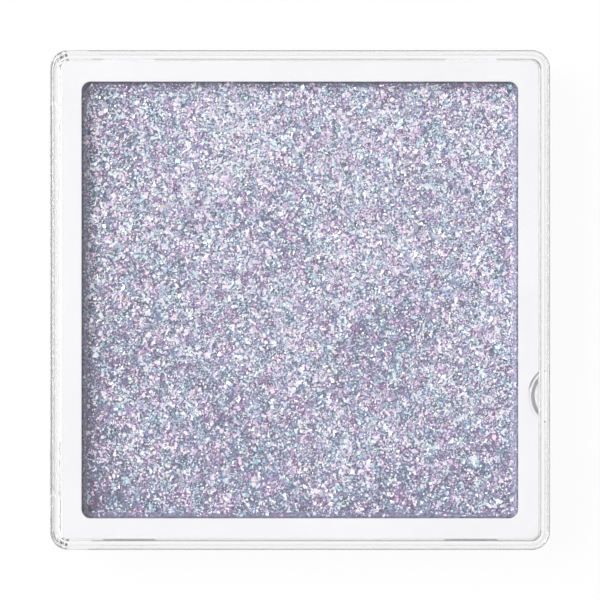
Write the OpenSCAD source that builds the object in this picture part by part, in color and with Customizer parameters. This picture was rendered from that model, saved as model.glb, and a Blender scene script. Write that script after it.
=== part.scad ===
// Single eyeshadow palette: a square clear case with a hinged clear lid, a white inner frame
// and one square pan of pressed glitter powder under the frame's window.
// It lies closed on its base. +Z is up, +X points to the catch side and -X to the hinge.
// Millimetres. The origin is the middle of the base's underside.
// Heights are stacked from the base's floor up, widths from the case's face inward.

/* [Case] */
// Outside width of the square case
case_w = 38; // [34:0.5:44]
// Radius of the case's upright corners
corner_r = 1.4; // [1.2:0.1:1.8]
// Thickness of the side walls of base and lid
wall = 0.65; // [0.6:0.05:0.75]
// Thickness of the base's floor
floor_t = 0.9; // [0.8:0.05:1.1]
// Radius round the base's bottom edge
base_edge_r = 0.5; // [0.3:0.05:0.6]
// Width of the foot round the recess in the underside
foot_w = 4; // [3:0.25:6]
// Depth of the recess in the underside
foot_h = 0.3; // [0.2:0.05:0.4]
// Corner radius of the recess in the underside
foot_r = 2.8; // [1:0.2:4]
// Gap between lid and base at the parting line
seam = 0.05; // [0.02:0.01:0.1]
// Space between the frame's top face and the lid
lid_gap = 0.5; // [0.4:0.05:1]
// Thickness of the lid's top plate
lid_top = 0.95; // [0.8:0.05:1.2]
// Radius round the lid's top edge
lid_edge_r = 0.35; // [0.2:0.05:0.5]

/* [Inner frame] */
// Gap between the frame and the case walls
frame_gap = 0.08; // [0.05:0.01:0.12]
// Width of the frame's top face round the window
frame_border = 1.65; // [1.6:0.01:2.2]
// Thickness of the frame's top plate
frame_t = 0.6; // [0.5:0.05:0.8]
// Thickness of the frame's skirt
skirt_t = 0.8; // [0.6:0.05:0.85]
// How much the frame's sides draw in towards its top, on each side
frame_taper = 0.08; // [0.05:0.01:0.1]
// Radius round the frame's outer top edge
frame_edge_r = 0.05; // [0.05:0.05:0.3]
// Corner radius of the window
window_r = 0.7; // [0.5:0.05:1]
// Bevel round the window's top edge
window_bevel = 0.03; // [0.02:0.01:0.15]
// Radius of the lugs that clip the frame into the base
lug_r = 0.25; // [0.2:0.01:0.3]
// Length of a lug
lug_len = 4; // [3:0.5:5]
// Play of a lug along its pocket, at each end
lug_play = 0.2; // [0.1:0.05:0.4]
// Distance from a lug's middle to the frame's corner
lug_inset = 5.2; // [4.5:0.1:6]
// Height of the lugs above the floor
lug_rise = 1.1; // [0.8:0.05:1.3]

/* [Nail scoop] */
// Radius of the scoop at its ledge
scoop_r = 2.2; // [2:0.02:2.5]
// Depth of the scoop from the case's face, at its ledge
scoop_depth = 1.36; // [1.2:0.01:1.45]
// How much shallower the scoop is at the base's floor
scoop_taper = 0.35; // [0.2:0.05:0.5]
// Place of the scoop along the catch side
scoop_y = -7.35; // [-8:0.05:-5]
// Depth of the scoop in the base's wall below the parting line
scoop_drop = 1.2; // [1:0.1:1.6]
// Thickness of the frame between scoop and pan
scoop_web = 0.4; // [0.3:0.01:0.42]
// Bevel round the scoop's top edge
scoop_bevel = 0.06; // [0.04:0.02:0.2]
// Width of the sunk ledge round the scoop, and of the same step in the base's wall
scoop_ledge = 0.24; // [0.15:0.01:0.3]
// Depth of that ledge below the frame's top face
scoop_ledge_drop = 0.06; // [0.04:0.01:0.2]

/* [Pan and powder] */
// Height of the ribs that carry the pan above the floor
rib_h = 2.7; // [2.65:0.05:3.5]
// Thickness of those ribs
rib_t = 0.8; // [0.6:0.05:1]
// Outside width of the square ring of ribs
rib_ring_w = 26; // [22:0.5:28]
// Thickness of the pan's sheet metal
pan_t = 0.25; // [0.2:0.01:0.3]
// Inside depth of the pan
pan_depth = 1.63; // [1.4:0.01:2.2]
// Inside corner radius of the pan
pan_r = 1.2; // [0.9:0.05:1.3]
// Outside radius where the pan's wall turns into its floor
pan_bend_r = 0.5; // [0.4:0.05:0.7]
// How far the frame covers the pan's inside on each side
pan_cover = 0.13; // [0.1:0.01:0.2]
// Gap between the pan's rim and the frame
pan_rim_gap = 0.05; // [0.03:0.01:0.1]
// Depth of the powder's rim below the pan's rim
powder_drop = 0.03; // [0.02:0.01:0.1]
// How far the press plate sinks the powder's face below its rim
press_depth = 0.4; // [0.3:0.05:0.6]
// Distance from the powder's edge to the foot of the sloping rim that the press plate leaves
press_margin = 0.6; // [0.5:0.02:0.8]
// Distance from the powder's edge to the crest of that rim
rim_crest = 0.27; // [0.2:0.01:0.35]
// How far the powder's edge has crumbled away below the crest
edge_crumble = 0.16; // [0.1:0.02:0.25]
// Gap between powder and pan wall
powder_gap = 0.02; // [0.01:0.01:0.05]
// Radius of the adhesive pad under the pan
pad_r = 6; // [4:0.5:8]
// Thickness of the adhesive pad
pad_t = 0.15; // [0.1:0.01:0.3]

/* [Hinge] */
// Radius of the lid's hinge barrel
barrel_r = 1; // [0.9:0.01:1.02]
// Gap between the barrel and the base
hinge_gap = 0.15; // [0.1:0.01:0.2]
// Height of the base's step under the barrel's room
barrel_step = 0.3; // [0.2:0.05:0.5]
// Height of the parting line above the hinge axis
part_rise = 1.75; // [1.7:0.05:2]
// Angle to which the lid opens
lid_open = 110; // [90:1:110]
// Thickness of the base's wall in front of the barrel
trough_t = 0.7; // [0.5:0.05:0.9]
// Length of the base's ears along the hinge
ear_len = 4; // [3:0.25:6]
// Gap from the ears and the trough to the pan and the frame
ear_gap = 0.2; // [0.1:0.05:0.3]
// Radius of the hinge pins
pin_r = 0.35; // [0.25:0.01:0.45]
// Running clearance round the pins in the barrel
pin_gap = 0.04; // [0.02:0.01:0.08]
// How far a pin reaches into the barrel
pin_reach = 4; // [3:0.25:6]
// Depth of a pin's outer end below the side of the case, so that the frame's edge covers it
pin_sink = 0.85; // [0.1:0.05:1]
// Play between a pin's inner end and the end of its bore
pin_play = 0.1; // [0.05:0.01:0.3]

/* [Catch] */
// Radius of the catch bead inside the lid's front wall
bead_r = 0.22; // [0.18:0.01:0.26]
// Height of the catch bead below the frame's top face
bead_drop = 0.95; // [0.9:0.05:1.1]
// Clearance round the bead in its groove
bead_gap = 0.1; // [0.06:0.01:0.12]
// Bevel inside the lid's lower edge that guides it over the frame
lead_in = 0.25; // [0.2:0.01:0.3]

/* [Hidden] */
$fn = 96;
cut = 1;                                      // how far a cutter runs past a face that it opens
nick = 0.1;                                   // the same for a cutter in a swept profile
half_w = case_w / 2;

pan_z = floor_t + rib_h;                      // underside of the pan
powder_z = pan_z + pan_t;
pan_top = powder_z + pan_depth;
lip_z = pan_top + pan_rim_gap;                // underside of the frame's top plate
frame_z = lip_z + frame_t;
powder_rim_z = pan_top - powder_drop;
powder_face_z = powder_rim_z - press_depth;   // the powder's flat face
lid_z = frame_z + lid_gap;                    // underside of the lid's top plate
case_h = lid_z + lid_top;

frame_w = case_w - 2 * (wall + frame_gap);
frame_r = corner_r - wall - frame_gap;
window_w = frame_w - 2 * frame_border;
pan_in_w = window_w + 2 * pan_cover;
pan_w = pan_in_w + 2 * pan_t;
powder_w = pan_in_w - 2 * powder_gap;
powder_r = pan_r - powder_gap;

axis_x = barrel_r - half_w;                   // the hinge axis lies along Y, flush inside the back face
axis_z = floor_t + barrel_step + hinge_gap + barrel_r;
part_z = axis_z + part_rise;
ear_y = half_w - ear_len;                     // inner face of each ear
barrel_len = 2 * (ear_y - hinge_gap);
trough_x = axis_x + barrel_r + hinge_gap;     // face of the base's wall in front of the barrel
trough_end_x = trough_x + trough_t;
trough_top = pan_z - ear_gap;

scoop_x = half_w + scoop_r - scoop_depth;     // the scoop's centre lies outside the case
scoop_z = part_z - scoop_drop;
ledge_z = frame_z - scoop_ledge_drop;
bead_z = frame_z - bead_drop;
lug_z = floor_t + lug_rise;

// ---- shapes ----

module rounded_square(w, r) {
    square([w - 2 * r, w], center = true);
    square([w, w - 2 * r], center = true);
    for (x = [-1, 1], y = [-1, 1])
        translate([x * (w / 2 - r), y * (w / 2 - r)])
            circle(r);
}

module rounded_plate(w, r, z0, z1) {
    translate([0, 0, z0])
        linear_extrude(z1 - z0)
            rounded_square(w, r);
}

// Sweeps a profile round a square of width w: the profile's x runs outward from the corners' centres.
module sweep_round(w, r) {
    for (turn = [0:90:270])
        rotate([0, 0, turn]) {
            translate([w / 2 - r, 0, 0])
                rotate([90, 0, 0])
                    linear_extrude(w - 2 * r, center = true)
                        children();
            translate([w / 2 - r, w / 2 - r, 0])
                rotate_extrude(angle = 90)
                    children();
        }
}

// A rounded square block from z0 to z1 with its top and bottom edges rounded too. Its sides draw in
// by taper up to where the top edge's rounding starts.
module soft_block(w, r, z0, z1, top = 0, bottom = 0, taper = 0) {
    h = z1 - z0;
    core_w = w - 2 * r;
    translate([-core_w / 2, -core_w / 2, z0])
        cube([core_w, core_w, h]);
    translate([0, 0, z0])
        sweep_round(w, r)
            difference() {
                polygon(concat([[0, 0], [r, 0]],
                               taper > 0 ? [[r - taper, h - top]] : [],
                               [[r - taper, h], [0, h]]));
                if (top > 0)
                    translate([r - taper - top, h - top])
                        outside_quarter(top);
                if (bottom > 0)
                    translate([r - bottom, bottom])
                        mirror([0, 1])
                            outside_quarter(bottom);
            }
}

// What an edge rounded to radius r leaves of a square corner.
module outside_quarter(r) {
    difference() {
        square(r + nick);
        circle(r);
    }
}

// A cylinder along Y through the XZ point [x, z], centred on Y = 0.
module rod(x, z, r, length) {
    translate([x, 0, z])
        rotate([90, 0, 0])
            cylinder(r = r, h = length, center = true);
}

// A cylinder on the hinge axis from y0 to y1.
module axis_rod(r, y0, y1) {
    translate([axis_x, y0, axis_z])
        rotate([-90, 0, 0])
            cylinder(r = r, h = y1 - y0);
}

// Draws its children at the +Y end of the hinge and mirrored at the -Y end.
module both_ends() {
    children();
    mirror([0, 1, 0])
        children();
}

// ---- parts of the base ----

// Room for the lid's barrel and tongue in the base, from closed to fully open.
module barrel_room() {
    room_r = barrel_r + hinge_gap;
    length = 2 * ear_y;
    rod(axis_x, axis_z, room_r, length);
    translate([-half_w - cut, -ear_y, axis_z])
        cube([trough_x + half_w + cut, length, part_rise + cut]);
    translate([-half_w - cut, -ear_y, axis_z - room_r])
        cube([barrel_r + cut, length, room_r + cut]);
    // the open lid's tongue lies against the back of the floor
    translate([axis_x, 0, axis_z])
        rotate([0, -lid_open, 0])
            translate([-room_r, -ear_y, 0])
                cube([wall, length, case_h]);
}

// Above the hinge axis the base's back edge ends on the arc that the lid swings round.
module back_relief() {
    difference() {
        translate([-half_w - cut, -half_w - cut, axis_z])
            cube([barrel_r + cut, case_w + 2 * cut, part_rise + cut]);
        rod(axis_x, axis_z, part_rise, case_w + 4 * cut);
    }
}

// The block at one back corner that holds a pin: full height beside the pan, lower under it.
module hinge_ear() {
    beside_pan = (case_w - pan_w) / 2 - ear_gap;
    translate([-half_w, ear_y, floor_t])
        cube([beside_pan, ear_len - wall / 2, part_z - floor_t]);
    translate([-half_w, ear_y, floor_t])
        cube([trough_end_x + half_w, ear_len - wall / 2, trough_top - floor_t]);
}

// The wall in front of the barrel, from ear to ear.
module trough_wall() {
    translate([trough_x, -ear_y - cut, floor_t])
        cube([trough_t, 2 * (ear_y + cut), trough_top - floor_t]);
}

// Ring and cross of ribs under the pan, with a round seat for the adhesive pad in the middle.
module pan_ribs() {
    rib_len = case_w - 2 * foot_w;
    difference() {
        translate([0, 0, floor_t])
            linear_extrude(rib_h) {
                difference() {
                    square(rib_ring_w, center = true);
                    square(rib_ring_w - 2 * rib_t, center = true);
                }
                square([rib_len, rib_t], center = true);
                square([rib_t, rib_len], center = true);
                difference() {
                    circle(pad_r);
                    circle(pad_r - rib_t);
                }
            }
        translate([0, 0, pan_z - pad_t])
            cylinder(r = pad_r + rib_t, h = cut);
    }
}

// The lugs that clip the frame into the base, or the pockets for them, two on each of three sides.
module lugs(r, length) {
    for (side = [-90, 0, 90], end = [-1, 1])
        rotate([0, 0, side])
            translate([0, end * (frame_w / 2 - lug_inset), 0])
                rod(frame_w / 2, lug_z, r, length);
}

// A cone that is wider than the scoop by around: the wall round the scoop, or the wider scoop in the base.
module scoop_cone(around) {
    translate([scoop_x, scoop_y, floor_t])
        cylinder(r1 = scoop_r - scoop_taper + around, r2 = scoop_r + around, h = frame_z - floor_t);
}

// The scoop in the frame: its wall slopes outward towards the floor and ends in a bevel and a sunk ledge.
module scoop_cut() {
    ledge_h = ledge_z - floor_t;
    ledge_r = scoop_r + scoop_ledge;
    translate([scoop_x, scoop_y, floor_t])
        rotate_extrude()
            polygon([[0, 0], [scoop_r - scoop_taper, 0], [scoop_r, ledge_h - scoop_bevel],
                     [scoop_r + scoop_bevel, ledge_h], [ledge_r, ledge_h],
                     [ledge_r, ledge_h + cut], [0, ledge_h + cut]]);
}

// ---- pieces ----

module base_shell() {
    color([0.93, 0.95, 0.96, 0.45])
    difference() {
        union() {
            difference() {
                soft_block(case_w, corner_r, 0, part_z, bottom = base_edge_r);
                rounded_plate(case_w - 2 * wall, corner_r - wall, floor_t, part_z + cut);
            }
            intersection() {
                soft_block(case_w, corner_r, 0, part_z, bottom = base_edge_r);
                both_ends()
                    hinge_ear();
            }
            trough_wall();
            pan_ribs();
        }
        barrel_room();
        back_relief();
        both_ends()
            axis_rod(pin_r, ear_y - cut, half_w + cut);
        intersection() {
            scoop_cone(scoop_ledge);
            translate([0, -half_w, scoop_z])
                cube([case_w, case_w, case_h]);
        }
        lugs(lug_r + frame_gap, lug_len + 2 * lug_play);
        rounded_plate(case_w - 2 * foot_w, foot_r, -cut, foot_h);
    }
}

module lid_shell() {
    relief_r = part_rise + 2 * seam;
    color([0.95, 0.97, 0.98, 0.35])
    difference() {
        union() {
            difference() {
                soft_block(case_w, corner_r, part_z + seam, case_h, top = lid_edge_r);
                rounded_plate(case_w - 2 * wall, corner_r - wall, part_z - cut, lid_z);
                lead_in_cut();
            }
            rod(half_w - wall, bead_z, bead_r, case_w - 2 * corner_r);
            // tongue and barrel of the hinge
            translate([-half_w, -barrel_len / 2, axis_z])
                cube([wall, barrel_len, part_rise + 2 * seam]);
            rod(axis_x, axis_z, barrel_r, barrel_len);
        }
        both_ends() {
            axis_rod(pin_r + pin_gap, barrel_len / 2 - pin_reach - pin_play, barrel_len / 2 + cut);
            axis_rod(relief_r, barrel_len / 2, half_w + cut);
        }
    }
}

// Bevel inside the lid's lower edge.
module lead_in_cut() {
    translate([0, 0, part_z + seam])
        sweep_round(case_w, corner_r)
            translate([corner_r - wall, 0])
                polygon([[-nick, -nick], [lead_in, -nick], [lead_in, 0], [0, lead_in], [-nick, lead_in]]);
}

module inner_frame() {
    color([0.97, 0.97, 0.97])
    difference() {
        union() {
            difference() {
                frame_block();
                rounded_plate(frame_w - 2 * skirt_t, frame_r, floor_t - cut, lip_z);
            }
            // the skirt bulges inward round the scoop
            intersection() {
                frame_block();
                scoop_cone(scoop_web);
            }
            lugs(lug_r, lug_len);
        }
        window_cut();
        scoop_cut();
        // the hinge side has no skirt below the parting line
        translate([-half_w, -half_w, 0])
            cube([trough_end_x + ear_gap + half_w, case_w, part_z + seam]);
        rod(half_w - wall, bead_z, bead_r + bead_gap, case_w);
    }
}

module frame_block() {
    soft_block(frame_w, frame_r, floor_t, frame_z, top = frame_edge_r, taper = frame_taper);
}

module window_cut() {
    reach = 2 * window_bevel;
    rounded_plate(window_w, window_r, lip_z - cut, frame_z + cut);
    translate([0, 0, frame_z - window_bevel])
        sweep_round(window_w, window_r)
            polygon([[0, 0], [window_r, 0], [window_r + reach, reach], [0, reach]]);
}

module pan() {
    color([0.78, 0.79, 0.80])
    difference() {
        soft_block(pan_w, pan_r + pan_t, pan_z, pan_top, bottom = pan_bend_r);
        soft_block(pan_in_w, pan_r, powder_z, pan_top + cut, bottom = pan_bend_r - pan_t);
    }
}

module pan_adhesive() {
    color([0.9, 0.88, 0.8])
    translate([0, 0, pan_z - pad_t])
        cylinder(r = pad_r, h = pad_t);
}

// Pressed powder fills the pan. The press plate sinks its flat face and leaves a sloping rim, which has
// crumbled a little at the pan's wall.
module eyeshadow_cake() {
    rim_h = powder_rim_z - powder_z;
    h = powder_face_z - powder_z;
    core_w = powder_w - 2 * powder_r;
    bend_r = pan_bend_r - pan_t;
    color([0.66, 0.66, 0.76])
    translate([0, 0, powder_z]) {
        translate([-core_w / 2, -core_w / 2, 0])
            cube([core_w, core_w, h]);
        sweep_round(powder_w, powder_r)
            difference() {
                polygon([[0, 0], [powder_r, 0], [powder_r, rim_h - edge_crumble],
                         [powder_r - rim_crest, rim_h], [powder_r - press_margin, h], [0, h]]);
                translate([powder_r - bend_r, bend_r])
                    mirror([0, 1])
                        outside_quarter(bend_r);
            }
    }
}

module hinge_pin() {
    color([0.75, 0.76, 0.78])
    axis_rod(pin_r, barrel_len / 2 - pin_reach, half_w - pin_sink);
}

module hinge_pin_left() {
    mirror([0, 1, 0])
        hinge_pin();
}

module hinge_pin_right() {
    hinge_pin();
}

base_shell();
lid_shell();
inner_frame();
pan();
pan_adhesive();
eyeshadow_cake();
hinge_pin_left();
hinge_pin_right();
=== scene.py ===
# The looks of a square single eyeshadow palette: clear styrene case, white inner frame, drawn
# aluminium pan and a cake of pressed glitter powder. Everything is in metres, in the frame's own axes.
import math

import bpy
import numpy as np
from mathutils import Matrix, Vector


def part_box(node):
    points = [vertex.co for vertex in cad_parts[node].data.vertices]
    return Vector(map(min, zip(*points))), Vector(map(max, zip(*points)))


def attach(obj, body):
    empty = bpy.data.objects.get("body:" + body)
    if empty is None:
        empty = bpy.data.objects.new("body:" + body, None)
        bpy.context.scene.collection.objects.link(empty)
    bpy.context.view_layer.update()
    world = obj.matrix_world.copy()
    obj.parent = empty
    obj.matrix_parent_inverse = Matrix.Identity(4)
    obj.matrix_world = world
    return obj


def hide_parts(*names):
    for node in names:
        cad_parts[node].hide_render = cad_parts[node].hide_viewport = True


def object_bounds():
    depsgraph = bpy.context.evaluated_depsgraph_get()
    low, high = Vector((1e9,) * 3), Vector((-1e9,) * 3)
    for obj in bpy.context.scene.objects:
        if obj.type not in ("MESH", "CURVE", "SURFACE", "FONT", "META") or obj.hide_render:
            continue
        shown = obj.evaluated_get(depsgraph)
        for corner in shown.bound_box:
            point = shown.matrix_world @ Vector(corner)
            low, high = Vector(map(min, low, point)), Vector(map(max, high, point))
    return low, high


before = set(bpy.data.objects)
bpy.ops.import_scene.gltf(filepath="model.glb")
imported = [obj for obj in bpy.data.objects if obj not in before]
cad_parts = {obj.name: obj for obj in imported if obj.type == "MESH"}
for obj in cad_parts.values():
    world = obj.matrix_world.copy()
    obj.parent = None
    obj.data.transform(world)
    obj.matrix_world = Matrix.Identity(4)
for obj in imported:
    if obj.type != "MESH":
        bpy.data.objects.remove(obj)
cad_low, cad_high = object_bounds()

MM = 0.001

# ---- the pressed powder's sizes ----
CAKE_CORNER_R = 1.18 * MM   # corner radius of the cake
PRESS_DEPTH = 0.40 * MM     # how far the press plate sinks the face below the rim
PRESS_MARGIN = 0.60 * MM    # from the cake's edge to the foot of its sloping rim
CREST = 0.27 * MM           # from the cake's edge to the crest of that rim
CRUMBLE = 0.16 * MM         # how far the crumbled edge falls from the crest to the pan's wall
GRAIN = 0.13 * MM           # spacing of the powder's facets; real grains are finer and would not show
SHADE_GRAIN = 0.12 * MM     # spacing of the grains' own shades, as coarse for the same reason
DENSE_PATCH = 0.9 * MM      # size of the patches where the powder is denser or looser
RIM_DUST = 0.16 * MM        # spacing of the dust on the smooth rim
RELIEF = 0.023 * MM         # standard deviation of the facets' heights on the face
RIM_RELIEF = 0.004 * MM     # the same on the smooth rim
SWELL = 0.03 * MM           # slow unevenness of the pressed face
SWELL_WAVE = 5.5 * MM       # its wavelength
CLUSTER_WAVE = 1.1 * MM     # spacing of the places where flakes crowd together
HUE_WAVE = 2.0 * MM         # spacing of the rosy and the icy places in the powder
DRIFT_WAVE = 8 * MM         # spacing of the broad brighter and darker areas
CAST_PULL = 0.24            # how far the rosy and icy places turn the tint of their grains
CAST_SHARE = 0.34           # how much of a grain's colour is its tint
POLISH = 0.35               # how smooth the rim is on the two sides that the plate didn't polish

# painted shade along each wall, standing for the frame's shadow and the shade close to the walls: how strong
# it is at each wall, and how far in it reaches
WALL_SHADE = (
    (1.00, 2.9 * MM),       # hinge side, -X
    (0.38, 1.8 * MM),       # catch side, +X
    (0.34, 2.4 * MM),       # -Y
    (0.32, 0.9 * MM),       # +Y
)
WALL_SHADE_DEPTH = 0.36          # how much darker the painted wall shade makes the powder where it is strongest

# ---- the flakes ----
FLAKE_SIDES = 5
KEEP_OFF = 0.26 * MM        # from the cake's edge to the nearest flake
WIDEST_FLAKE = 0.24 * MM    # largest radius of a flake
CLUMP_SPREAD = 0.15 * MM    # from the middle of a clump to its flakes
ON_SPOT = 0.54              # part of the tried spots that get a flake, and how that part changes:
CLUSTER_PULL = 0.26         # where flakes crowd together
DRIFT_PULL = 0.08           # in the broad bright areas
FAR_PULL = 0.16             # towards +Y
WALL_SHADE_LOSS = 0.27            # fewer in the painted wall shade, so that the powder there reads darker

# ---- the nail scoop's ledge in the frame ----
SCOOP_AT = (19.84 * MM, -7.35 * MM)
LEDGE_R = 2.44 * MM         # outer edge of the ledge
EDGE_ROUND = 0.10 * MM      # half width of the rounded step there
STEP_DEPTH = 0.10 * MM      # how deep the step is drawn

# ---- camera and light ----
VIEW_DISTANCE = 0.70        # camera above the lid's widest outline
VIEW_WIDTH = 45.59 * MM     # what the picture's width takes in at that height
SENSOR = 36.0
LAMP_SHARE = 0.70           # part of a level surface's light that comes from the key lamp
WORLD_SHARE = 0.42          # part that comes from all round
KEY_FROM = (-0.60, 0.24, 0.76)
KEY_DISTANCE = 3.60
KEY_SIZE = 2.25
TABLE_DROP = 0.02 * MM      # the table lies just under the foot
TABLE_HALF = 1.5
TABLE_GLOW = 0.94           # the table's white where the camera sees it

# ---- the other surfaces ----
STYRENE_IOR = 1.59
ABS_IOR = 1.54
POWDER_IOR = 1.60           # mica and talc
PEARL_IOR = 1.90            # mica with a thin coat of titania
FOAM_IOR = 1.47
MOULD_GRAIN = 0.12 * MM     # spark-eroded grain of the mould, coarser than real so that it shows
STRIP_LINES = 0.10 * MM     # rolled lines of the aluminium strip, coarser than real so that they show
WIRE_LINES = 0.05 * MM      # drawing lines of the wire, coarser than real so that they show
FOAM_PORE = 0.25 * MM       # pores of the acrylic foam


def linear(code):
    """The linear colour of an sRGB hex value, with alpha 1."""
    parts = [int(code[i:i + 2], 16) / 255 for i in (1, 3, 5)]
    return [c / 12.92 if c <= 0.04045 else ((c + 0.055) / 1.055) ** 2.4 for c in parts] + [1.0]


def add(tree, kind, sockets=None, stops=None, **settings):
    """Adds a node. sockets maps an input to a value, or to the output that is linked to it."""
    node = tree.nodes.new(kind)
    for name, value in settings.items():
        setattr(node, name, value)
    for name, value in (sockets or {}).items():
        if isinstance(value, bpy.types.NodeSocket):
            tree.links.new(value, node.inputs[name])
        else:
            node.inputs[name].default_value = value
    if stops:
        ramp = node.color_ramp
        while len(ramp.elements) < len(stops):
            ramp.elements.new(1.0)
        for element, (place, code) in zip(ramp.elements, stops):
            element.position = place
            element.color = linear(code)
    return node


def new_material(name):
    """An empty node material and its tree."""
    material = bpy.data.materials.new(name)
    material.use_nodes = True
    material.node_tree.nodes.clear()
    return material, material.node_tree


def finish_node(name, material):
    """Gives a CAD node its material in every slot."""
    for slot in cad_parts[name].material_slots:
        slot.material = material


# ---- materials ----

def clear_styrene(name, tint):
    """Injection-moulded crystal styrene: water clear and polished.

    Its bright reflections and dark edges come from the refraction; lamps shine through it unbent.
    """
    material, tree = new_material(name)
    plastic = add(tree, "ShaderNodeBsdfPrincipled", {
        "Base Color": linear(tint), "Transmission Weight": 1.0, "Roughness": 0.01,
        "IOR": STYRENE_IOR})
    open_air = add(tree, "ShaderNodeBsdfTransparent", {"Color": linear("#ffffff")})
    ray = add(tree, "ShaderNodeLightPath")
    passes = add(tree, "ShaderNodeMath", {0: ray.outputs["Is Shadow Ray"], 1: ray.outputs["Is Diffuse Ray"]},
                 operation="MAXIMUM")
    surface = add(tree, "ShaderNodeMixShader", {0: passes.outputs[0], 1: plastic.outputs[0],
                                                2: open_air.outputs[0]})
    add(tree, "ShaderNodeOutputMaterial", {"Surface": surface.outputs[0]})
    return material


def ledge_step(tree, place):
    """1 on the step round the nail scoop's ledge and 0 beside it.

    The moulded step is too shallow to show, so its upper end is drawn steeper than it is.
    """
    spot = add(tree, "ShaderNodeSeparateXYZ", {0: place})
    across = add(tree, "ShaderNodeMath", {0: spot.outputs["X"], 1: SCOOP_AT[0]}, operation="SUBTRACT")
    along = add(tree, "ShaderNodeMath", {0: spot.outputs["Y"], 1: SCOOP_AT[1]}, operation="SUBTRACT")
    arm = add(tree, "ShaderNodeCombineXYZ", {0: across.outputs[0], 1: along.outputs[0]})
    reach = add(tree, "ShaderNodeVectorMath", {0: arm.outputs[0]}, operation="LENGTH")
    off_edge = add(tree, "ShaderNodeMath", {0: reach.outputs["Value"], 1: LEDGE_R}, operation="SUBTRACT")
    off_edge = add(tree, "ShaderNodeMath", {0: off_edge.outputs[0]}, operation="ABSOLUTE")
    step = add(tree, "ShaderNodeMapRange", {"Value": off_edge.outputs[0], "From Max": EDGE_ROUND,
                                            "To Min": 1.0, "To Max": 0.0})
    upper = add(tree, "ShaderNodeMapRange", {"Value": along.outputs[0], "From Min": 0.35 * MM,
                                             "From Max": 0.95 * MM})
    return add(tree, "ShaderNodeMath", {0: step.outputs[0], 1: upper.outputs[0]},
               operation="MULTIPLY").outputs[0]


def white_abs():
    """Moulded white ABS, semi-gloss, with a fine spark-eroded grain: reads as clean, slightly soft white."""
    material, tree = new_material("white_abs")
    place = add(tree, "ShaderNodeTexCoord").outputs["Object"]
    shade = add(tree, "ShaderNodeTexNoise", {"Vector": place, "Scale": 1 / (7 * MM), "Detail": 2.0})
    colour = add(tree, "ShaderNodeValToRGB", {"Fac": shade.outputs["Fac"]},
                 stops=[(0.3, "#f5f4f6"), (0.7, "#f9f8fb")])
    grain = add(tree, "ShaderNodeTexNoise", {"Vector": place, "Scale": 1 / MOULD_GRAIN, "Detail": 3.0})
    gloss = add(tree, "ShaderNodeMapRange", {"Value": grain.outputs["Fac"], "To Min": 0.34, "To Max": 0.44})
    relief = add(tree, "ShaderNodeBump", {"Height": grain.outputs["Fac"], "Strength": 0.10,
                                          "Distance": 0.004 * MM})
    relief = add(tree, "ShaderNodeBump", {"Height": ledge_step(tree, place), "Strength": 1.0,
                                          "Distance": STEP_DEPTH, "Normal": relief.outputs["Normal"]},
                 invert=True)
    plastic = add(tree, "ShaderNodeBsdfPrincipled", {
        "Base Color": colour.outputs["Color"], "Roughness": gloss.outputs[0], "IOR": ABS_IOR,
        "Normal": relief.outputs["Normal"]})
    add(tree, "ShaderNodeOutputMaterial", {"Surface": plastic.outputs[0]})
    return material


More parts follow.
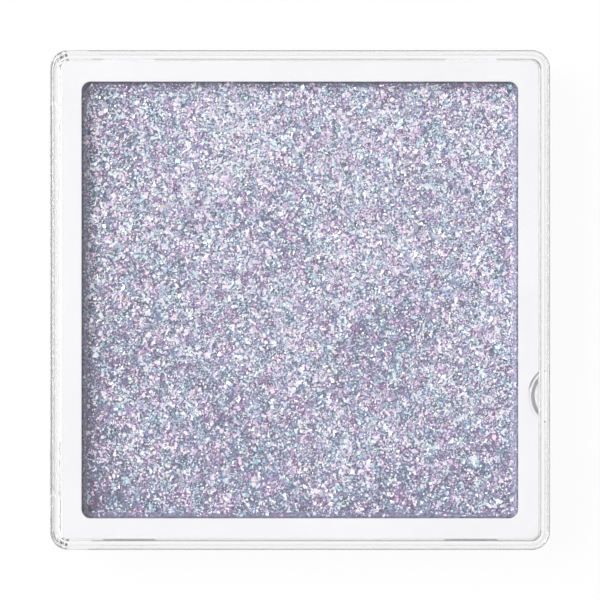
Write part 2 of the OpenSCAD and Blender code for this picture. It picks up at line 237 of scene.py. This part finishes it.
def pressed_powder(half):
    """Pressed pearl powder, lavender grey: fine flat grains, each with its own shade; smoother on the rim;
    darker towards the walls by painted shade.
    """
    material, tree = new_material("pressed_pearl_powder")
    place = add(tree, "ShaderNodeTexCoord").outputs["Object"]
    grains = add(tree, "ShaderNodeTexVoronoi", {"Vector": place, "Scale": 1 / SHADE_GRAIN})
    channels = add(tree, "ShaderNodeSeparateColor", {"Color": grains.outputs["Color"]})
    shade = add(tree, "ShaderNodeValToRGB", {"Fac": channels.outputs["Red"]},
                stops=[(0.0, "#343850"), (0.2, "#505473"), (0.45, "#7274a0"), (0.7, "#9293bf"),
                       (0.9, "#bcbde1"), (1.0, "#f2f0ff")])
    drifts = add(tree, "ShaderNodeTexNoise", {"Vector": place, "Scale": 1 / DENSE_PATCH, "Detail": 2.0})
    patches = add(tree, "ShaderNodeSeparateColor", {"Color": drifts.outputs["Color"]})
    rosy = add(tree, "ShaderNodeAttribute", attribute_name="hue_drift")
    own_cast = add(tree, "ShaderNodeMapRange", {"Value": channels.outputs["Green"], "To Min": 0.14,
                                                "To Max": 0.86})
    cast_at = add(tree, "ShaderNodeMath", {0: rosy.outputs["Fac"], 1: CAST_PULL, 2: own_cast.outputs[0]},
                  operation="MULTIPLY_ADD")
    cast = add(tree, "ShaderNodeValToRGB", {"Fac": cast_at.outputs[0]},
               stops=[(0.0, "#7ba4b4"), (0.3, "#8e9cb2"), (0.5, "#9c98b8"), (0.72, "#a890b4"),
                      (1.0, "#c088b8")])
    grain_colour = add(tree, "ShaderNodeMix", {0: CAST_SHARE, 6: shade.outputs["Color"],
                                               7: cast.outputs["Color"]}, data_type="RGBA")
    grain_brightness = add(tree, "ShaderNodeMapRange", {"Value": patches.outputs["Red"], "From Min": 0.3,
                                               "From Max": 0.7, "To Min": 0.64, "To Max": 1.10})
    # painted shade: the powder darkens towards the walls, where the frame's shadow falls
    wall_shade = add(tree, "ShaderNodeAttribute", attribute_name="wall_shade")
    grain_brightness = add(tree, "ShaderNodeMath", {0: grain_brightness.outputs[0], 1: wall_shade.outputs["Fac"]},
                  operation="MULTIPLY")
    grain_colour = add(tree, "ShaderNodeVectorMath", {0: grain_colour.outputs[2],
                                                      "Scale": grain_brightness.outputs[0]}, operation="SCALE")
    # smooth rim that the press plate leaves
    spot = add(tree, "ShaderNodeSeparateXYZ", {0: place})
    across = add(tree, "ShaderNodeMath", {0: spot.outputs["X"]}, operation="ABSOLUTE")
    along = add(tree, "ShaderNodeMath", {0: spot.outputs["Y"]}, operation="ABSOLUTE")
    outward = add(tree, "ShaderNodeMath", {0: across.outputs[0], 1: along.outputs[0]}, operation="MAXIMUM")
    rim = add(tree, "ShaderNodeMapRange", {"Value": outward.outputs[0],
                                           "From Min": half - PRESS_MARGIN - 0.05 * MM,
                                           "From Max": half - PRESS_MARGIN + 0.12 * MM})
    rim_dust = add(tree, "ShaderNodeTexNoise", {"Vector": place, "Scale": 1 / RIM_DUST, "Detail": 3.0})
    rim_colour = add(tree, "ShaderNodeValToRGB", {"Fac": rim_dust.outputs["Fac"]},
                     stops=[(0.33, "#656481"), (0.5, "#9592af"), (0.67, "#cdc9e2")])
    # the plate polished it only on the two sides that run along Y
    polished = add(tree, "ShaderNodeMath", {0: across.outputs[0], 1: along.outputs[0]},
                   operation="GREATER_THAN")
    polished = add(tree, "ShaderNodeMapRange", {"Value": polished.outputs[0], "To Min": POLISH})
    smooth = add(tree, "ShaderNodeMath", {0: rim.outputs[0], 1: polished.outputs[0]}, operation="MULTIPLY")
    colour = add(tree, "ShaderNodeMix", {0: smooth.outputs[0], 6: grain_colour.outputs[0],
                                         7: rim_colour.outputs["Color"]}, data_type="RGBA")
    gloss = add(tree, "ShaderNodeMapRange", {"Value": channels.outputs["Blue"], "To Min": 0.42,
                                             "To Max": 0.75})
    powder = add(tree, "ShaderNodeBsdfPrincipled", {
        "Base Color": colour.outputs[2], "Roughness": gloss.outputs[0], "IOR": POWDER_IOR})
    add(tree, "ShaderNodeOutputMaterial", {"Surface": powder.outputs[0]})
    return material


def pearl_flake(name, stops):
    """Mica flakes coated with titania: each flake has one flat tint and a bright, fairly sharp sheen."""
    material, tree = new_material(name)
    one_each = add(tree, "ShaderNodeNewGeometry").outputs["Random Per Island"]
    colour = add(tree, "ShaderNodeValToRGB", {"Fac": one_each}, stops=stops)
    flake = add(tree, "ShaderNodeBsdfPrincipled", {
        "Base Color": colour.outputs["Color"], "Roughness": 0.28, "IOR": PEARL_IOR})
    add(tree, "ShaderNodeOutputMaterial", {"Surface": flake.outputs[0]})
    return material


def drawn_aluminium():
    """Deep-drawn aluminium sheet: satin, with the fine straight lines of the rolled strip."""
    material, tree = new_material("drawn_aluminium")
    place = add(tree, "ShaderNodeTexCoord").outputs["Object"]
    strip = add(tree, "ShaderNodeMapping", {"Vector": place, "Scale": (0.04, 1.0, 1.0)})
    lines = add(tree, "ShaderNodeTexNoise", {"Vector": strip.outputs[0], "Scale": 1 / STRIP_LINES,
                                             "Detail": 3.0})
    gloss = add(tree, "ShaderNodeMapRange", {"Value": lines.outputs["Fac"], "To Min": 0.24, "To Max": 0.42})
    relief = add(tree, "ShaderNodeBump", {"Height": lines.outputs["Fac"], "Strength": 0.25,
                                          "Distance": 0.004 * MM})
    clouds = add(tree, "ShaderNodeTexNoise", {"Vector": place, "Scale": 1 / (5 * MM), "Detail": 2.0})
    colour = add(tree, "ShaderNodeValToRGB", {"Fac": clouds.outputs["Fac"]},
                 stops=[(0.3, "#d2d3d6"), (0.7, "#dddee1")])
    metal = add(tree, "ShaderNodeBsdfPrincipled", {
        "Base Color": colour.outputs["Color"], "Metallic": 1.0, "Roughness": gloss.outputs[0],
        "Normal": relief.outputs["Normal"]})
    add(tree, "ShaderNodeOutputMaterial", {"Surface": metal.outputs[0]})
    return material


def acrylic_pad():
    """Soft acrylic foam pad: cream, matt, with fine open pores."""
    material, tree = new_material("acrylic_foam_pad")
    place = add(tree, "ShaderNodeTexCoord").outputs["Object"]
    pores = add(tree, "ShaderNodeTexVoronoi", {"Vector": place, "Scale": 1 / FOAM_PORE})
    colour = add(tree, "ShaderNodeValToRGB", {"Fac": pores.outputs["Distance"]},
                 stops=[(0.1, "#cfc9b4"), (0.5, "#e6e1d0")])
    relief = add(tree, "ShaderNodeBump", {"Height": pores.outputs["Distance"], "Strength": 0.5,
                                          "Distance": 0.02 * MM})
    foam = add(tree, "ShaderNodeBsdfPrincipled", {
        "Base Color": colour.outputs["Color"], "Roughness": 0.75, "IOR": FOAM_IOR,
        "Normal": relief.outputs["Normal"]})
    add(tree, "ShaderNodeOutputMaterial", {"Surface": foam.outputs[0]})
    return material


def drawn_steel():
    """Drawn stainless wire: bright, with fine lines along its length."""
    material, tree = new_material("drawn_stainless_wire")
    place = add(tree, "ShaderNodeTexCoord").outputs["Object"]
    strip = add(tree, "ShaderNodeMapping", {"Vector": place, "Scale": (1.0, 0.03, 1.0)})
    lines = add(tree, "ShaderNodeTexNoise", {"Vector": strip.outputs[0], "Scale": 1 / WIRE_LINES,
                                             "Detail": 2.0})
    gloss = add(tree, "ShaderNodeMapRange", {"Value": lines.outputs["Fac"], "To Min": 0.18, "To Max": 0.34})
    metal = add(tree, "ShaderNodeBsdfPrincipled", {
        "Base Color": linear("#b9bbbe"), "Metallic": 1.0, "Roughness": gloss.outputs[0]})
    add(tree, "ShaderNodeOutputMaterial", {"Surface": metal.outputs[0]})
    return material


# ---- the powder cake ----

def rounded(points, half):
    """Moves the points of a square onto the cake's outline, whose corners are arcs."""
    straight = half - CAKE_CORNER_R
    side = np.abs(points) - straight
    in_corner = (side > 0).all(axis=1)
    reach = side[in_corner]
    shrink = reach.max(axis=1) / np.hypot(reach[:, 0], reach[:, 1])
    moved = points.copy()
    moved[in_corner] = np.sign(points[in_corner]) * (straight + reach * shrink[:, None])
    return moved


def from_edge(points, half):
    """Distance of points inside the cake's outline to that outline."""
    straight = half - CAKE_CORNER_R
    side = np.abs(points) - straight
    in_corner = (side > 0).all(axis=1)
    reach = np.where(in_corner, np.hypot(side[:, 0], side[:, 1]), side.max(axis=1))
    return CAKE_CORNER_R - reach


def press_height(edge_distance, points, rim_z):
    """Height of the pressed surface: crumbled at the wall, then a sloping rim, then a slowly swelling face."""
    slope = np.clip((edge_distance - CREST) / (PRESS_MARGIN - CREST), 0, 1)
    soft_foot = slope - 0.06 * np.sin(2 * np.pi * slope)
    fall = CRUMBLE * np.clip(1 - edge_distance / CREST, 0, 1) ** 1.3
    turn = 2 * np.pi / SWELL_WAVE
    swell = SWELL * np.sin(points[:, 0] * turn + 1.0) * np.sin(points[:, 1] * turn * 0.8 + 0.4)
    return rim_z - PRESS_DEPTH * soft_foot - fall + swell * slope ** 3


def crowding(points, wave, seed):
    """A smooth random field of unit spread, which varies over the given wavelength."""
    random = np.random.default_rng(seed)
    waves = 40
    angle = random.uniform(0, 2 * np.pi, waves)
    turn = 2 * np.pi / (wave * random.uniform(0.6, 1.8, waves))
    phase = random.uniform(0, 2 * np.pi, waves)
    sums = points[:, :1] * np.cos(angle) * turn + points[:, 1:] * np.sin(angle) * turn + phase
    return np.cos(sums).sum(axis=1) * math.sqrt(2 / waves)


def hue_drift(points):
    """Above 0 where rose flakes and grains outnumber the ice-blue ones, and below 0 where these do."""
    return (0.75 * crowding(points, HUE_WAVE, 31) + 0.6 * crowding(points, 0.5 * HUE_WAVE, 32)
            + 0.32 * crowding(points, 2.5 * HUE_WAVE, 33))


def wall_shade_weight(points, half):
    """Weight of the painted shade along the walls, standing for the frame's shadow and the shade near them: 1
    at the hinge side's wall, less at the others.
    """
    x, y = points[:, 0], points[:, 1]
    gaps = (half + x, half - x, half + y, half - y)
    return sum(shade_strength * np.exp(-gap / reach) for gap, (shade_strength, reach) in zip(gaps, WALL_SHADE))


def new_piece(name, vertices, faces, material):
    """A mesh piece that rides on the base."""
    mesh = bpy.data.meshes.new(name)
    mesh.from_pydata(vertices, [], faces)
    mesh.materials.append(material)
    piece = bpy.data.objects.new(name, mesh)
    bpy.context.scene.collection.objects.link(piece)
    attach(piece, "base")
    return piece


def powder_cake(material):
    """The cake: a faceted pressed top on a smooth block that fills the pan."""
    low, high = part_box("eyeshadow_cake")
    half = high.x
    cells = round(2 * half / GRAIN)
    line = np.linspace(-half, half, cells + 1)
    across, along = np.meshgrid(line, line, indexing="ij")
    square = np.stack([across.ravel(), along.ravel()], axis=1)
    random = np.random.default_rng(11)
    inner = np.abs(square).max(axis=1) < half - 0.5 * GRAIN
    square[inner] += random.uniform(-0.36, 0.36, (inner.sum(), 2)) * GRAIN
    plan = rounded(square, half)
    edge = from_edge(plan, half)
    on_face = np.clip((edge - PRESS_MARGIN) / (0.15 * MM) + 1, 0, 1)
    rough = random.normal(0, 1, len(plan)) * (RIM_RELIEF + (RELIEF - RIM_RELIEF) * on_face)
    height = press_height(edge, plan, high.z) + rough
    height[~inner] = high.z - CRUMBLE
    height = np.minimum(height, high.z)
    top = np.column_stack([plan, height])

    n = cells + 1
    index = np.arange(n * n).reshape(n, n)
    a, b = index[:-1, :-1].ravel(), index[1:, :-1].ravel()
    c, d = index[1:, 1:].ravel(), index[:-1, 1:].ravel()
    flip = random.random(len(a)) < 0.5
    halves = [np.where(flip[:, None], np.column_stack([a, b, c]), np.column_stack([a, b, d])),
              np.where(flip[:, None], np.column_stack([a, c, d]), np.column_stack([b, c, d]))]
    rim = np.concatenate([index[:-1, 0], index[-1, :-1], index[:0:-1, -1], index[0, :0:-1]])
    bottom = top[rim]
    bottom[:, 2] = low.z
    first = len(top)
    foot = np.arange(first, first + len(rim))
    walls = [(rim[i - 1], foot[i - 1], foot[i], rim[i]) for i in range(len(rim))]
    faces = [tuple(f) for part in halves for f in part.tolist()]
    faces += [tuple(int(v) for v in wall) for wall in walls]
    faces.append(tuple(int(v) for v in foot[::-1]))
    vertices = np.vstack([top, bottom])
    cake = new_piece("pressed_powder", vertices.tolist(), faces, material)
    rosy = cake.data.attributes.new("hue_drift", "FLOAT", "POINT")
    rosy.data.foreach_set("value", hue_drift(vertices[:, :2]))
    # the painted wall shade, kept on the cake for the powder's colour
    wall_shade = cake.data.attributes.new("wall_shade", "FLOAT", "POINT")
    wall_shade.data.foreach_set("value", 1 - WALL_SHADE_DEPTH * wall_shade_weight(vertices[:, :2], half))
    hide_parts("eyeshadow_cake")
    return cake


def glitter(name, material, count, size, spread, tilt, seed, cluster, hue=0, on_foot=0, slim=1, clump=1):
    """Flat flakes pressed into the powder: each is a small polygon on a point that sits in the cake.

    Twice count spots are tried, and about half of them get a flake.
    They crowd by the seed cluster and, with hue, more in the rosy places or, below 0, in the icy ones.
    With clump, that many lie together in one small heap.
    """
    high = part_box("eyeshadow_cake")[1]
    half = high.x
    random = np.random.default_rng(seed)
    spots = random.uniform(-half + KEEP_OFF, half - KEEP_OFF, (2 * count, 2))
    edge = from_edge(spots, half)
    # fewer flakes near the walls are part of the painted wall shade
    share = (ON_SPOT + CLUSTER_PULL * crowding(spots, CLUSTER_WAVE, cluster)
             + DRIFT_PULL * crowding(spots, DRIFT_WAVE, 6) + hue * hue_drift(spots)
             + FAR_PULL * spots[:, 1] / half - WALL_SHADE_LOSS * wall_shade_weight(spots, half))
    # fewer lie on the sloping rim, and fewest where the plate polished it
    polished = np.abs(spots[:, 0]) > np.abs(spots[:, 1])
    share *= np.clip((edge - KEEP_OFF) / (PRESS_MARGIN - KEEP_OFF), np.where(polished, 0.3, 0.6), 1)
    spots = spots[(random.random(len(spots)) < share) & (edge > KEEP_OFF)]
    if clump > 1:
        spots = np.repeat(spots, clump, axis=0)
        spots += random.normal(0, CLUMP_SPREAD, spots.shape)
        spots = spots[from_edge(spots, half) > KEEP_OFF]
    if on_foot:     # a row of them caught at the foot of the rim
        side = random.integers(0, 4, on_foot)
        run = random.uniform(-half + CAKE_CORNER_R, half - CAKE_CORNER_R, on_foot)
        out = half - PRESS_MARGIN + random.normal(0, 0.035 * MM, on_foot)
        turn = side * np.pi / 2
        foot = np.stack([out * np.cos(turn) - run * np.sin(turn),
                         out * np.sin(turn) + run * np.cos(turn)], axis=1)
        spots = np.vstack([spots, foot])
    number = len(spots)
    edge = from_edge(spots, half)
    lift = random.uniform(0.02, 0.06, number) * MM
    centre = np.column_stack([spots, press_height(edge, spots, high.z) + lift])
    lean = random.normal(0, tilt, (number, 2))
    up = np.column_stack([lean, np.ones(number)])
    up /= np.linalg.norm(up, axis=1)[:, None]
    turn = random.uniform(0, 2 * np.pi, number)
    first = np.cross(up, np.column_stack([np.cos(turn), np.sin(turn), np.zeros(number)]))
    first /= np.linalg.norm(first, axis=1)[:, None]
    second = np.cross(up, first)
    stretch = slim * np.exp(np.abs(random.normal(0, 0.22, number)))
    radius = size / 2 * np.exp(random.normal(0, spread, number))
    radius = np.minimum(radius, WIDEST_FLAKE)
    start = random.uniform(0, 2 * np.pi, number)
    corners = []
    for corner in range(FLAKE_SIDES):
        angle = start + (corner + random.uniform(-0.3, 0.3, number)) * 2 * np.pi / FLAKE_SIDES
        reach = radius * random.uniform(0.65, 1.25, number)
        corners.append(centre + (np.cos(angle) * reach * stretch)[:, None] * first
                       + (np.sin(angle) * reach / stretch)[:, None] * second)
    root = centre - up * (0.6 * radius / stretch)[:, None]
    vertices = np.stack([*corners, root], axis=1)
    vertices[:, :, 2] = np.minimum(vertices[:, :, 2], high.z)
    step = FLAKE_SIDES + 1
    base = np.arange(number) * step
    faces = []
    ring = list(range(FLAKE_SIDES))
    for b in base.tolist():
        faces.append([b + i for i in ring])
        faces.extend([b + (i + 1) % FLAKE_SIDES, b + i, b + FLAKE_SIDES] for i in ring)
    return new_piece(name, vertices.reshape(-1, 3).tolist(), faces, material)


# ---- the pieces ----
cake_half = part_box("eyeshadow_cake")[1].x
powder_cake(pressed_powder(cake_half))
glitter("silver_flakes", pearl_flake("silver_white_mica", [
    (0.0, "#8d80dc"), (0.012, "#a0a0ca"), (0.26, "#cccbf2"), (0.40, "#f2f1ff"), (0.985, "#fcfcff"),
    (1.0, "#e6d6a0")]),
    count=17500, size=0.125 * MM, spread=0.44, tilt=0.27, seed=21, cluster=5, on_foot=300)
glitter("pearl_dust", pearl_flake("fine_pearl_dust", [
    (0.0, "#dcdaff"), (0.3, "#f6f4ff"), (0.7, "#fefdff"), (1.0, "#f0ffff")]),
    count=17000, size=0.092 * MM, spread=0.22, tilt=0.24, seed=29, cluster=11)
glitter("rose_flakes", pearl_flake("rose_lilac_mica", [
    (0.0, "#cf6cca"), (0.02, "#c49cca"), (0.22, "#e0bae6"), (0.5, "#f6daf8"), (1.0, "#fff0ff")]),
    count=12500, size=0.120 * MM, spread=0.46, tilt=0.27, seed=22, cluster=7, hue=0.30, on_foot=100)
glitter("ice_blue_flakes", pearl_flake("ice_blue_mica", [
    (0.0, "#58c4cc"), (0.02, "#8cb4c8"), (0.22, "#b0d8e8"), (0.5, "#d2f0fa"), (1.0, "#ecfcff")]),
    count=12500, size=0.120 * MM, spread=0.44, tilt=0.27, seed=23, cluster=8, hue=-0.30, on_foot=70)
glitter("white_flakes", pearl_flake("white_pearl_mica", [
    (0.0, "#f4ecff"), (0.4, "#fff4ff"), (0.8, "#fafaff"), (1.0, "#eafeff")]),
    count=4300, size=0.19 * MM, spread=0.34, tilt=0.12, seed=25, cluster=10)
glitter("flake_clumps", pearl_flake("white_pearl_clump", [
    (0.0, "#ffe6fb"), (0.4, "#fff8ff"), (0.75, "#ffffff"), (1.0, "#e2fbff")]),
    count=120, size=0.19 * MM, spread=0.25, tilt=0.16, seed=28, cluster=10, clump=6)
glitter("white_plates", pearl_flake("white_pearl_plate", [
    (0.0, "#fbe2f8"), (0.3, "#fff2ff"), (0.7, "#ffffff"), (1.0, "#e4fbfb")]),
    count=260, size=0.34 * MM, spread=0.24, tilt=0.07, seed=26, cluster=10)
glitter("pearl_splinters", pearl_flake("pearl_mica_splinter", [
    (0.0, "#f2dcf2"), (0.5, "#ffffff"), (1.0, "#e2f6f8")]),
    count=220, size=0.16 * MM, spread=0.22, tilt=0.10, seed=27, cluster=9, slim=3.4)
glitter("lilac_plates", pearl_flake("lilac_grey_mica", [
    (0.0, "#8782a0"), (0.5, "#9f99b4"), (1.0, "#b8b2cc")]),
    count=420, size=0.40 * MM, spread=0.25, tilt=0.05, seed=24, cluster=9)

finish_node("base_shell", clear_styrene("clear_styrene_base", "#fdfefe"))
finish_node("lid_shell", clear_styrene("clear_styrene_lid", "#fefefe"))
finish_node("inner_frame", white_abs())
finish_node("pan", drawn_aluminium())
finish_node("pan_adhesive", acrylic_pad())
pin_wire = drawn_steel()
finish_node("hinge_pin_left", pin_wire)
finish_node("hinge_pin_right", pin_wire)


# ---- floor, light and camera ----

def white_floor():
    """A plain white table, near white to the camera and through the case; that glow falls on nothing."""
    material, tree = new_material("white_table")
    ray = add(tree, "ShaderNodeLightPath")
    seen = add(tree, "ShaderNodeMath", {0: ray.outputs["Is Camera Ray"], 1: ray.outputs["Is Glossy Ray"]},
               operation="MAXIMUM")
    seen = add(tree, "ShaderNodeMath", {0: seen.outputs[0], 1: ray.outputs["Is Transmission Ray"]},
               operation="MAXIMUM")
    lit = add(tree, "ShaderNodeBsdfDiffuse", {"Color": linear("#464646")})
    glow_level = add(tree, "ShaderNodeMath", {0: seen.outputs[0], 1: TABLE_GLOW}, operation="MULTIPLY")
    glow = add(tree, "ShaderNodeEmission", {"Strength": glow_level.outputs[0]})
    both = add(tree, "ShaderNodeAddShader", {0: lit.outputs[0], 1: glow.outputs[0]})
    add(tree, "ShaderNodeOutputMaterial", {"Surface": both.outputs[0]})
    mesh = bpy.data.meshes.new("table")
    mesh.from_pydata([(x * TABLE_HALF, y * TABLE_HALF, -TABLE_DROP)
                      for x, y in ((-1, -1), (1, -1), (1, 1), (-1, 1))], [], [(0, 1, 2, 3)])
    mesh.materials.append(material)
    table = bpy.data.objects.new("table", mesh)
    bpy.context.scene.collection.objects.link(table)


def room_light():
    """Even light from all round. The camera sees white, and the clear case a pale room.

    The room is white at the horizon and dimmer overhead, with a dark screen along the wall
    behind the lamp. It draws the lines in the case's rim and lights nothing.
    """
    world = bpy.data.worlds.new("studio")
    world.use_nodes = True
    tree = world.node_tree
    tree.nodes.clear()
    way = add(tree, "ShaderNodeTexCoord").outputs["Generated"]
    parts = add(tree, "ShaderNodeSeparateXYZ", {0: way})
    aside = add(tree, "ShaderNodeMath", {0: parts.outputs["Y"]}, operation="ABSOLUTE")
    lamp_side = add(tree, "ShaderNodeMath", {0: parts.outputs["X"], 1: aside.outputs[0]}, operation="ADD")
    behind_lamp = add(tree, "ShaderNodeMath", {0: lamp_side.outputs[0], 1: 0.0}, operation="LESS_THAN")
    screened = add(tree, "ShaderNodeValToRGB", {"Fac": parts.outputs["Z"]}, stops=[
        (0.0, "#f9f9f9"), (0.03, "#f9f9f9"), (0.045, "#a0a0a0"), (0.40, "#a0a0a0"),
        (0.44, "#ffffff"), (0.86, "#ffffff"), (0.90, "#bcbcbc"), (1.0, "#bcbcbc")])
    plain = add(tree, "ShaderNodeValToRGB", {"Fac": parts.outputs["Z"]}, stops=[
        (0.0, "#f9f9f9"), (0.42, "#f9f9f9"), (0.46, "#e1e1e1"), (0.86, "#e1e1e1"),
        (0.90, "#bcbcbc"), (1.0, "#bcbcbc")])
    room = add(tree, "ShaderNodeMix", {0: behind_lamp.outputs[0], 6: plain.outputs["Color"],
                                       7: screened.outputs["Color"]}, data_type="RGBA")
    ray = add(tree, "ShaderNodeLightPath")
    shiny = add(tree, "ShaderNodeMath", {0: ray.outputs["Is Glossy Ray"],
                                         1: ray.outputs["Is Transmission Ray"]}, operation="MAXIMUM")
    even = linear("#ffffff")
    even[:3] = [WORLD_SHARE] * 3
    seen = add(tree, "ShaderNodeMix", {0: shiny.outputs[0], 6: even, 7: room.outputs[2]}, data_type="RGBA")
    seen = add(tree, "ShaderNodeMix", {0: ray.outputs["Is Camera Ray"], 6: seen.outputs[2],
                                       7: linear("#ffffff")}, data_type="RGBA")
    light = add(tree, "ShaderNodeBackground", {"Color": seen.outputs[2]})
    add(tree, "ShaderNodeOutputWorld", {"Surface": light.outputs[0]})
    bpy.context.scene.world = world


def key_lamp():
    """One large soft lamp from the hinge side."""
    toward = np.array(KEY_FROM) / np.linalg.norm(KEY_FROM)
    lamp = bpy.data.lights.new("key", "AREA")
    lamp.shape = "SQUARE"
    lamp.size = KEY_SIZE
    lamp.energy = LAMP_SHARE * math.pi ** 2 * KEY_DISTANCE ** 2 / toward[2]
    holder = bpy.data.objects.new("key", lamp)
    holder.location = toward * KEY_DISTANCE
    holder.rotation_euler = (-holder.location).to_track_quat("-Z", "Y").to_euler()
    bpy.context.scene.collection.objects.link(holder)


def straight_above():
    """The camera, straight above the closed palette, with a long lens."""
    camera = bpy.data.cameras.new("camera")
    camera.sensor_width = SENSOR
    camera.lens = SENSOR * VIEW_DISTANCE / VIEW_WIDTH
    holder = bpy.data.objects.new("camera", camera)
    holder.location = (0.0, 0.0, cad_high.z + VIEW_DISTANCE)
    bpy.context.scene.collection.objects.link(holder)
    bpy.context.scene.camera = holder


white_floor()
room_light()
key_lamp()
straight_above()
bpy.context.scene.view_settings.view_transform = "Standard"
